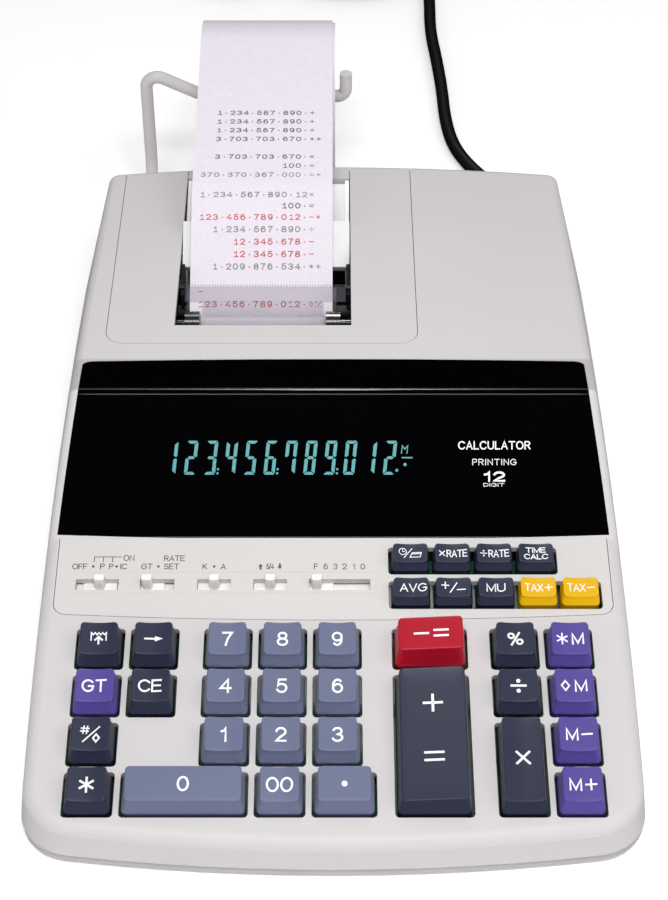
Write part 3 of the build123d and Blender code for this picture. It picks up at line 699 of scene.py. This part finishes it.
LEGENDS = {
    "key_paper_feed": lambda: moved(paper_feed_symbol(), 0, 0.2),
    "key_backspace": right_arrow,
    "key_grand_total": lambda: moved(text("GT", 4.6, 0.14, 1.04), -0.2, 0),
    "key_clear_entry": lambda: moved(text("CE", 4.6, 0.14, 1.08), -0.2, 0),
    "key_subtotal": number_or_subtotal_symbol,
    "key_total": lambda: asterisk(0, 0, 2.4, 0.75),
    "key_00": lambda: text("00", 5.2, 0.135, 1.14),
    "key_minus_equals": lambda: joined(bars(-3.2, 0, 2.3, (0,), 0.75),
                                       bars(3.6, 0, 2.3, (1.05, -1.05), 0.75)),
    "key_plus_equals": lambda: joined(plus(0, 11.3, 3.0, 0.9), bars(0, -8.8, 3.0, (1.4, -1.4), 0.85)),
    "key_percent": lambda: text("%", 4.9, 0.14, 1.15),
    "key_divide": lambda: division(0, 0, 2.4, 0.72, 1.8, 0.8),
    "key_multiply": lambda: times(0, 0.6, 2.1, 0.8),
    "key_memory_total": lambda: joined(asterisk(-2.8, 0, 1.9, 0.55), letter_m(2.6)),
    "key_memory_subtotal": lambda: joined(diamond(-3.0, 0, 1.7, 0.55), letter_m(2.3)),
    "key_memory_minus": lambda: joined(letter_m(-2.1), bars(2.9, 0, 1.6, (0,), 0.6)),
    "key_memory_plus": lambda: joined(letter_m(-2.3), plus(2.8, 0, 1.7, 0.6)),
    "key_point": lambda: disc_figure(0, 0, 1.0),
    "key_clock_date": clock_date_symbol,
    "key_times_rate": lambda: joined(times(-3.6, 0, 0.9, 0.4), rate_word()),
    "key_divide_rate": lambda: joined(division(-3.7, 0, 1.1, 0.33, 0.95, 0.36), rate_word()),
    "key_time_calc": lambda: joined(moved(text("TIME", 2.2, 0.17, 1.22), 0, 1.35),
                                    moved(text("CALC", 2.2, 0.17, 1.22), 0, -1.3)),
    "key_average": lambda: moved(text("AVG", 3.3, 0.125, 1.1), 0.8, 0),
    "key_sign_change": lambda: joined(plus(-2.9, 0.9, 1.2, 0.42),
                                      stroke_figure([[(-1.2, -1.8), (1.2, 1.9)]], 0.4),
                                      bars(2.7, -0.8, 1.4, (0,), 0.42)),
    "key_markup": lambda: text("MU", 3.3, 0.13, 1.2),
    "key_tax_plus": lambda: joined(tax_word(), plus(3.6, 0, 1.2, 0.4)),
    "key_tax_minus": lambda: joined(tax_word(), bars(3.6, 0, 1.2, (0,), 0.4)),
}
for digit in range(10):
    LEGENDS[f"key_{digit}"] = lambda d=digit: text(str(d), 5.25, 0.14, 1.05)


def make_keys():
    """Every key's cap and its legend."""
    slots = {part["node"]: part["material_slot"] for part in frame["record"]["subparts"]}
    small = {"key_clock_date", "key_times_rate", "key_divide_rate", "key_time_calc", "key_average",
             "key_sign_change", "key_markup", "key_tax_plus", "key_tax_minus"}
    for name, slot_name in slots.items():
        if not name.startswith("key_"):
            continue
        if name in small:
            key = Key(name, 4.2, 5.0, (2.4, 1.0, 1.3))
        else:
            extra = {"key_minus_equals": 3.0, "key_plus_equals": 0.6}.get(name, 0.0)
            key = Key(name, 5.4 + extra, 7.2 + extra, (3.0, 1.3, 1.8), 4.5 if extra else 0.0)
        key_cap(key, KEY_LOOKS[slot_name], slot_name)
        rise = 0.7 if name not in small else 0.5
        if name in LEGENDS:
            figure = moved(LEGENDS[name](), 0, rise)
            ink("legend_" + name, figure, key.place, WHITE_INK, name, "white_plastic")


# ---------- control panel

def make_switch_tray():
    """The pale tray that closes the slide switches' slots from below."""
    corners = [(x, along, above) for above in (-4.8, -4.1) for x, along in
               ((-94.5, 31.2), (15.5, 31.2), (15.5, 40.6), (-94.5, 40.6))]
    faces = [(0, 1, 2, 3), (7, 6, 5, 4), (0, 4, 5, 1), (1, 5, 6, 2), (2, 6, 7, 3), (3, 7, 4, 0)]
    mesh = new_mesh("switch_tray", [slope_point(*corner) for corner in corners], faces)
    new_object("switch_tray", smooth(mesh, 30), KNOB, "case", "white_plastic")


def make_panel_print():
    """The switch labels above their slots, the bracket and the thin embossed frame."""
    row = 43.7
    labels = [(label, x, row) for label, x in zip(("OFF", "P", "P", "IC", "GT", "SET", "K", "A"),
                                                  (-91.0, -82.9, -79.7, -75.3, -66.9, -58.1, -46.1, -39.5))]
    labels += [("ON", -73.6, row + 3.7), ("RATE", -57.2, row + 3.6)]
    labels += [(label, x, row) for label, x in zip("F63210", (-6.2, -2.7, 0.7, 4.1, 7.4, 10.6))]
    figures = [moved(text(label, 2.5, 0.125, 0.9), x, y) for label, x, y in labels]
    figures.append(moved(text("5/4", 2.4, 0.13, 0.55), -22.7, row))
    figures += [disc_figure(x, row, 0.5) for x in (-86.2, -77.8, -62.8, -42.8)]
    low, high = row + 2.1, row + 4.2
    bracket = [[(-86.0, low), (-86.0, high), (-76.4, high)], [(-82.7, low), (-82.7, high)],
               [(-79.4, low), (-79.4, high)]]
    figures.append(stroke_figure(bracket, 0.28))
    for x, way in ((-26.1, 1), (-19.2, -1)):
        figures.append(([(x - 0.85, row), (x + 0.85, row), (x, row + 1.2 * way)], [(0, 1, 2)[::way]]))
        figures.append(stroke_figure([[(x, row), (x, row - 1.0 * way)]], 0.75))
    ink("panel_labels", joined(*figures), slope_point, BLACK_INK, "case", "black_plastic")
    emboss = [[(-94.0, 41.3), (-94.0, 32.0), (15.2, 32.0), (15.2, 41.3), (-94.0, 41.3)]]
    ink("panel_frame_line", stroke_figure(emboss, 0.35), slope_point, CASE, "case", "light_case")


# ---------- display

DIGIT_SEGMENTS = {"0": "abcdef", "1": "bc", "2": "abged", "3": "abgcd", "4": "fgbc", "5": "afgcd",
                  "6": "afgedc", "7": "fabc", "8": "abcdefg", "9": "abcdfg"}
DIGIT_WIDE, DIGIT_TALL = 4.1, 12.35
DIGIT_PITCH = 7.23
DIGIT_SLANT = 0.105
DIGITS_LEFT = -61.6
DIGITS_LOW = 23.0


def window_place(x, y, lift):
    """A point on the sloped window; y runs up it from its foot."""
    return at(x, WINDOW_FOOT[0] + y * math.cos(WINDOW_ANGLE) - lift * math.sin(WINDOW_ANGLE),
              WINDOW_FOOT[1] + y * math.sin(WINDOW_ANGLE) + lift * math.cos(WINDOW_ANGLE))


def segment_figure(name):
    """One bar of a digit, with mitred ends, before the slant."""
    wide, tall, middle, thick, bar = DIGIT_WIDE, DIGIT_TALL, DIGIT_TALL / 2, 1.25, 1.05
    top = [(0.2, tall - 0.25), (0.5, tall), (wide - 0.5, tall), (wide - 0.2, tall - 0.25),
           (wide - bar - 0.1, tall - bar), (bar + 0.1, tall - bar)]
    side = [(0, middle + 0.5), (0, tall - 0.75), (0.12, tall - 0.5), (thick, tall - bar - 0.4),
            (thick, middle + bar / 2 + 0.25), (0.5, middle + 0.25)]
    cross = [(0.75, middle), (1.25, middle + bar / 2), (wide - 1.25, middle + bar / 2), (wide - 0.75, middle),
             (wide - 1.25, middle - bar / 2), (1.25, middle - bar / 2)]
    shape = {"a": top, "d": top, "g": cross}.get(name, side)
    if name in "bc":
        shape = [(wide - x, y) for x, y in shape]
    if name in "dec":
        shape = [(x, tall - y) for x, y in shape]
    return shape, [tuple(range(len(shape)))]


def make_display():
    """The lit digits with their commas, the point and the small memory and sign marks."""
    figures = []
    for index, digit in enumerate("123456789012"):
        left = DIGITS_LEFT + index * DIGIT_PITCH
        for name in DIGIT_SEGMENTS[digit]:
            figures.append(moved(segment_figure(name), left, DIGITS_LOW))
        if index in (2, 5, 8):
            for height in (0.5, 2.0):
                figures.append(disc_figure(left + 5.0, DIGITS_LOW + height, 0.42))
    figures.append(disc_figure(DIGITS_LEFT + 11 * DIGIT_PITCH + 5.0, DIGITS_LOW + 1.6, 0.55))
    slanted = [([(x + (y - DIGITS_LOW) * DIGIT_SLANT, y) for x, y in points], faces)
               for points, faces in figures]
    small_x = 25.9
    letter = [[(-1.1, -1.4), (-0.8, 1.4), (0.1, 0.1), (1.2, 1.4), (0.9, -1.4)]]
    slanted.append(moved(stroke_figure(letter, 0.42), small_x, DIGITS_LOW + 9.2))
    slanted.append(moved(stroke_figure([[(-1.4, 0), (2.1, 0)]], 0.5), small_x + 0.6, DIGITS_LOW + 6.2))
    slanted.append(disc_figure(small_x + 0.2, DIGITS_LOW + 3.7, 0.62))
    ink("display_digits", joined(*slanted), window_place, PHOSPHOR, "case", "tube_glass")
    white = [moved(text("CALCULATOR", 3.1, 0.145, 0.95, 0.30), 58.6, 33.7),
             moved(text("PRINTING", 2.3, 0.12, 1.12, 0.34), 58.6, 27.6),
             moved(text("12", 3.8, 0.2, 1.8), 58.4, 22.3), moved(text("DIGIT", 1.3, 0.17, 2.0), 58.4, 19.3)]
    ink("display_white_text", joined(*white), window_place, WHITE_INK, "case", "white_plastic")


# ---------- paper

ROLLER_CENTRE, WRAP_RADIUS = (249.0, 44.0), 10.5
ROLL_CENTRE, OVER_RADIUS = (380.0, 60.5), 35.9
UNDER_RADIUS = 35.4
PAPER_X = (-57.8, -0.3)
PAPER_THICKNESS = 0.12
LINE_PITCH = 5.264
FIRST_LINE = 94.6
COLUMN_PITCH = 2.79
LAST_COLUMN_X = -6.1
PRINTED = ["1·234·567·890·+ ", "1·234·567·890·+ ", "1·234·567·890·+ ", "3·703·703·670·**", "",
           "3·703·703·670·× ", "100·= ", "370·370·367·000·=+", "", "1·234·567·890·12× ", "100·= ",
           "-123·456·789·012·−*", "1·234·567·890·÷ ", "-12·345·678·− ", "-12·345·678·− ",
           "1·209·876·534·*+", "", "-−                 ", "-123·456·789·012·◇M"]


def arc(centre, radius, start, end, step=3.0):
    """Points round a circle in the side view, between two angles in degrees."""
    count = max(2, int(abs(end - start) / step))
    angles = [math.radians(start + (end - start) * k / count) for k in range(count + 1)]
    return [(centre[0] + radius * math.cos(a), centre[1] + radius * math.sin(a)) for a in angles]


def eased(before, corner, after, reach, count=8):
    """A soft bend at a corner, as points of a quadratic curve."""
    def towards(target):
        length = math.hypot(target[0] - corner[0], target[1] - corner[1])
        return tuple(c + (t - c) / length * reach for c, t in zip(corner, target))
    start, end = towards(before), towards(after)
    points = []
    for k in range(count + 1):
        u = k / count
        weights = ((1 - u) ** 2, 2 * u * (1 - u), u * u)
        points.append(tuple(sum(w * p for w, p in zip(weights, row)) for row in zip(start, corner, end)))
    return points


def paper_path():
    """The web's side view from the roll through the printer and back over the roll, and the exit's index."""
    supply_angle = 270 + 33.2
    inlet = [(305.0, 64.2), (283.5, 54.6)]
    from_roll = arc(ROLL_CENTRE, UNDER_RADIUS, 115, 115.1)[:1]
    around = arc(ROLLER_CENTRE, WRAP_RADIUS, supply_angle, 126, 4.0)
    supply = from_roll + eased(from_roll[0], *inlet, 2.0) + eased(*inlet, around[0], 2.0)
    over = arc(ROLL_CENTRE, OVER_RADIUS, 100.15, -26, 3.0)
    corners = [(272.0, 73.6), (286.0, 79.9)]
    climb = eased(around[-1], *corners, 3.4) + eased(*corners, over[0], 3.6)
    return supply + around + climb + over, len(supply) + len(around) - 1


def lengths_along(path):
    total = [0.0]
    for a, b in zip(path, path[1:]):
        total.append(total[-1] + math.hypot(b[0] - a[0], b[1] - a[1]))
    return total


def refined(path, step=2.0):
    """The path with points no further apart than the step."""
    points = [path[0]]
    for a, b in zip(path, path[1:]):
        count = max(1, int(math.hypot(b[0] - a[0], b[1] - a[1]) / step))
        points += [tuple(p + (q - p) * k / count for p, q in zip(a, b)) for k in range(1, count + 1)]
    return points


def path_frame(path, total, distance):
    """The point and outward normal at a distance along the path."""
    distance = min(max(distance, 0.0), total[-1] - 1e-6)
    index = max(k for k, length in enumerate(total) if length <= distance)
    (ay, az), (by, bz) = path[index], path[index + 1]
    span = total[index + 1] - total[index]
    share = (distance - total[index]) / span
    return (ay + (by - ay) * share, az + (bz - az) * share), (-(bz - az) / span, (by - ay) / span)


def make_paper():
    """The paper web with its printed lines."""
    coarse, exit_index = paper_path()
    exit_distance = lengths_along(coarse)[exit_index]
    path = refined(coarse)
    total = lengths_along(path)
    columns = 8
    verts, faces = [], []
    for side in (-1, 1):
        for distance in total:
            (y, z), (ny, nz) = path_frame(path, total, distance)
            for k in range(columns + 1):
                across = PAPER_X[0] + (PAPER_X[1] - PAPER_X[0]) * k / columns
                lift = side * PAPER_THICKNESS / 2
                verts.append(at(across, y + ny * lift, z + nz * lift))
    row, layer = columns + 1, (columns + 1) * len(total)
    for level in range(len(total) - 1):
        for k in range(columns):
            a = level * row + k
            faces.append((a, a + 1, a + row + 1, a + row))
            faces.append((layer + a + row, layer + a + row + 1, layer + a + 1, layer + a))
        for k in (0, columns):
            a = level * row + k
            faces.append((a, a + row, layer + a + row, layer + a))
    for level in (0, len(total) - 1):
        for k in range(columns):
            a = level * row + k
            faces.append((a, a + 1, layer + a + 1, layer + a))
    web = new_object("paper_web", smooth(new_mesh("paper_web", verts, faces), 60), PAPER, "case", "paper")
    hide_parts("paper_strip")

    def place(x, y, lift):
        (py, pz), (ny, nz) = path_frame(path, total, exit_distance + y)
        offset = PAPER_THICKNESS / 2 + lift * 0.6
        return at(x, py + ny * offset, pz + nz * offset)

    glyphs = {}
    dark, faded, red = [], [], []
    for number, line in enumerate(PRINTED):
        is_red = line.startswith("-")
        characters = line[1:] if is_red else line
        centre_y = FIRST_LINE - number * LINE_PITCH
        for index, character in enumerate(reversed(characters)):
            if character == " ":
                continue
            x = LAST_COLUMN_X - index * COLUMN_PITCH
            figure = printed_glyph(character, glyphs)
            lines = red if is_red else dark if number < 7 or number == 10 else faded
            lines.append(moved(figure, x, centre_y))
    ink("printed_dark_lines", joined(*dark), place, DARK_PRINT, "case", "black_plastic", 0.04)
    ink("printed_faded_lines", joined(*faded), place, FADED_PRINT, "case", "black_plastic", 0.04)
    ink("printed_red_lines", joined(*red), place, RED_INK, "case", "red_key", 0.04)


def printed_glyph(character, known):
    """A typewriter-like character, made once and reused."""
    if character not in known:
        drawn = {"·": lambda: disc_figure(0, -0.2, 0.33), "*": lambda: asterisk(0, 0, 0.8, 0.3),
                 "+": lambda: plus(0, 0, 0.8, 0.36), "−": lambda: bars(0, 0, 0.85, (0,), 0.4),
                 "=": lambda: bars(0, 0, 0.8, (0.4, -0.4), 0.34), "×": lambda: times(0, 0, 0.65, 0.34),
                 "◇": lambda: diamond(0, 0, 0.9, 0.3),
                 "÷": lambda: division(0, 0, 0.8, 0.24, 0.75, 0.3)}
        if character in drawn:
            known[character] = drawn[character]()
        else:
            known[character] = text(character, 2.7, 0.18, 1.12)
            if character == "1":
                known[character] = joined(known[character], bars(0.2, -1.13, 0.75, (0,), 0.4))
    return known[character]


# ---------- guide and tear bar at the printer bay

def prism(points, x_range):
    """A closed bar with the side view given by (y, z) points."""
    count = len(points)
    verts = [at(x, y, z) for x in x_range for y, z in points]
    faces = [tuple(range(count)), tuple(reversed(range(count, 2 * count)))]
    faces += [(k, (k + 1) % count, (k + 1) % count + count, k + count) for k in range(count)]
    return verts, faces


def prisms(name, bars_list, mat, body, slot_name, bevel=0.0):
    verts, faces = [], []
    for points, x_range in bars_list:
        start = len(verts)
        bar_verts, bar_faces = prism(points, x_range)
        verts += bar_verts
        faces += [tuple(start + index for index in face) for face in bar_faces]
    mesh = new_mesh(name, verts, faces)
    work = bmesh.new()
    work.from_mesh(mesh)
    bmesh.ops.recalc_face_normals(work, faces=work.faces)
    if bevel:
        bmesh.ops.bevel(work, geom=work.edges[:], offset=bevel * MM, segments=2, affect="EDGES",
                        clamp_overlap=True)
    work.to_mesh(mesh)
    work.free()
    return new_object(name, smooth(mesh, 40), mat, body, slot_name)


def make_guide():
    """The light ramp and inlet tray, and the clear serrated tear bar in front of them, with a clear apron
    under the bar that lays painted shade on the paper.
    """
    x_low, x_high = -61.2, 6.6
    bars_list = [([(257.5, 60), (274, 70.8), (275.4, 69.8), (275.4, 65.5), (259.5, 56.5)], (x_low, x_high)),
                 ([(285.5, 54.4), (311, 63.9), (311, 61.5), (285.5, 52.0)], (x_low, x_high))]
    cheek = [(275.4, 65.5), (275.4, 62), (279, 57), (311, 65.5), (311, 61), (285.5, 51), (262, 46),
             (259.5, 56.5)]
    bars_list += [(cheek, (x_low, x_low + 1.6)), (cheek, (x_high - 1.6, x_high))]
    guide = prisms("guide_ramp", bars_list, WHITE, "case", "white_plastic", 0.18)
    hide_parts("paper_guide")
    blade = [(242.6, 53.8), (247.6, 57.4), (248.1, 56.7), (243.1, 53.1)]
    # The apron carries the tinted clear plastic further down over the paper, as painted shade on it.
    shading_apron = [(237.7, 50.3), (242.6, 53.8), (243.1, 53.1), (238.2, 49.6)]
    left, right = -59.7, 5.0
    tear_bars = [(blade, (left, right)), (shading_apron, (-52.6, -3.9))]
    tooth = [(247.6, 57.4), (248.5, 58.0), (248.1, 56.7)]
    count = 56
    span = (right - left) / count
    tear_bars += [(tooth, (left + (k + 0.2) * span, left + (k + 0.8) * span)) for k in range(count)]
    prisms("tear_bar", tear_bars, clear_material(), "case", "white_plastic")


# ---------- mains cord

CORD_DIAMETER = 6.2
ROUTE = [(88.0, 350.0, 14.0), (86.6, 371.0, 8.6), (78.6, 392.0, 4.2), (66.5, 411.0, 3.3), (58.3, 431.0, 3.3),
         (55.4, 455.0, 3.3), (55.0, 482.0, 3.3), (53.4, 510.0, 3.3), (51.0, 540.0, 3.3), (51.9, 572.0, 3.3),
         (51.4, 603.0, 3.3)]
COIL_CENTRE = (9.0, 621.0)
COIL_RADII = (42.4, 36.0, 29.6)
COIL_LEVELS = (3.2, 9.6)
TAIL = [(42.2, 1.0, 9.6), (39.5, 17.0, 9.6), (29.5, 31.0, 9.4), (14.0, 39.6, 9.2), (-4.0, 42.0, 9.2),
        (-24.0, 41.0, 9.2), (-42.0, 36.0, 9.0)]           # from the coil's centre
BLADE_SPACING = 12.7
BLADE_REACH = (62.9, 45.8)                                # from the plug's rear end
TURN_POINTS = 16


def coil_points():
    """Two layers of three turns: winding inwards on the floor, then outwards on top of them."""
    low, high = COIL_LEVELS
    turns = [(radius, low) for radius in COIL_RADII] + [(radius, high) for radius in reversed(COIL_RADII)]
    points = []
    for number, (radius, level) in enumerate(turns):
        after = turns[min(number + 1, len(turns) - 1)]
        for k in range(TURN_POINTS):
            share = k / TURN_POINTS
            blend = max(0.0, (share - 0.7) / 0.3)
            r = radius + (after[0] - radius) * blend
            z = level + (after[1] - level) * blend
            angle = 2 * math.pi * share
            points.append((COIL_CENTRE[0] + r * math.cos(angle), COIL_CENTRE[1] + r * math.sin(angle), z))
    return points


def make_cord():
    """The cord as one smooth curve: out of its sleeve, along the table, into the coil and to the plug."""
    plug_low, plug_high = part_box("power_plug")
    plug_x = (plug_low[0] + plug_high[0]) / 2 / MM
    plug_y = plug_high[1] / MM - FRONT_Y
    plug_z = (plug_low[2] + plug_high[2]) / 2 / MM
    tail = [(COIL_CENTRE[0] + x, COIL_CENTRE[1] + y, z) for x, y, z in TAIL]
    tail += [(plug_x + 6.0, plug_y + 24.0, 9.0), (plug_x, plug_y + 10.0, plug_z),
             (plug_x, plug_y - 2.0, plug_z)]
    route = ROUTE + coil_points() + tail
    curve = bpy.data.curves.new("mains_cord", "CURVE")
    curve.dimensions = "3D"
    curve.bevel_depth = CORD_DIAMETER / 2 * MM
    curve.bevel_resolution = 5
    curve.resolution_u = 8
    curve.use_fill_caps = True
    spline = curve.splines.new("NURBS")
    spline.points.add(len(route) - 1)
    for point, place in zip(spline.points, route):
        point.co = (*at(*place), 1.0)
    spline.order_u = 3
    spline.use_endpoint_u = True
    cord = bpy.data.objects.new("mains_cord", curve)
    bpy.context.scene.collection.objects.link(cord)
    curve.materials.append(CORD)
    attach(cord, "case")
    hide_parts("power_cord", "cord_coil")
    tip, root = (plug_y - reach for reach in BLADE_REACH)
    blade = [(tip, 5.8), (root, 5.8), (root, 12.2), (tip, 12.2)]
    sides = [(plug_x + x - 0.8, plug_x + x + 0.8) for x in (-BLADE_SPACING / 2, BLADE_SPACING / 2)]
    prisms("plug_blades", [(blade, side) for side in sides], METAL, "case", "steel")
    bare = cord.copy()
    bare.data = curve.copy()
    bare.data.bevel_depth = 0
    bpy.context.scene.collection.objects.link(bare)
    bpy.context.view_layer.update()
    line = bpy.data.meshes.new_from_object(bare)
    bpy.data.objects.remove(bare)


# ---------- carried-over nodes

def dress_nodes():
    """Materials for the CAD nodes that stay visible."""
    looks = {"upper_case": CASE, "lower_case": LOWER, "rubber_feet": RUBBER, "control_panel": PANEL,
             "display_window": GLOSS, "display_tube": GLOSS, "printer_cover": CASE, "printer_frame": BLACK,
             "feed_roller": RUBBER, "paper_holder": CASE, "main_board": board_material(),
             "transformer": laminated_material(), "strain_relief": CORD, "power_plug": CORD}
    low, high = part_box("paper_roll")
    centre_y, centre_z = (low[1] + high[1]) / 2, (low[2] + high[2]) / 2
    looks["paper_roll"] = roll_material(centre_y, centre_z, 7.8 * MM)
    for name in frame["nodes"]:
        if name.startswith("switch_"):
            looks[name] = KNOB
    for name, mat in looks.items():
        node = frame["nodes"][name]
        node.data.materials.clear()
        node.data.materials.append(mat)


make_camera()
make_cord()
make_studio()
dress_nodes()
make_keys()
make_switch_tray()
make_panel_print()
make_display()
make_paper()
make_guide()
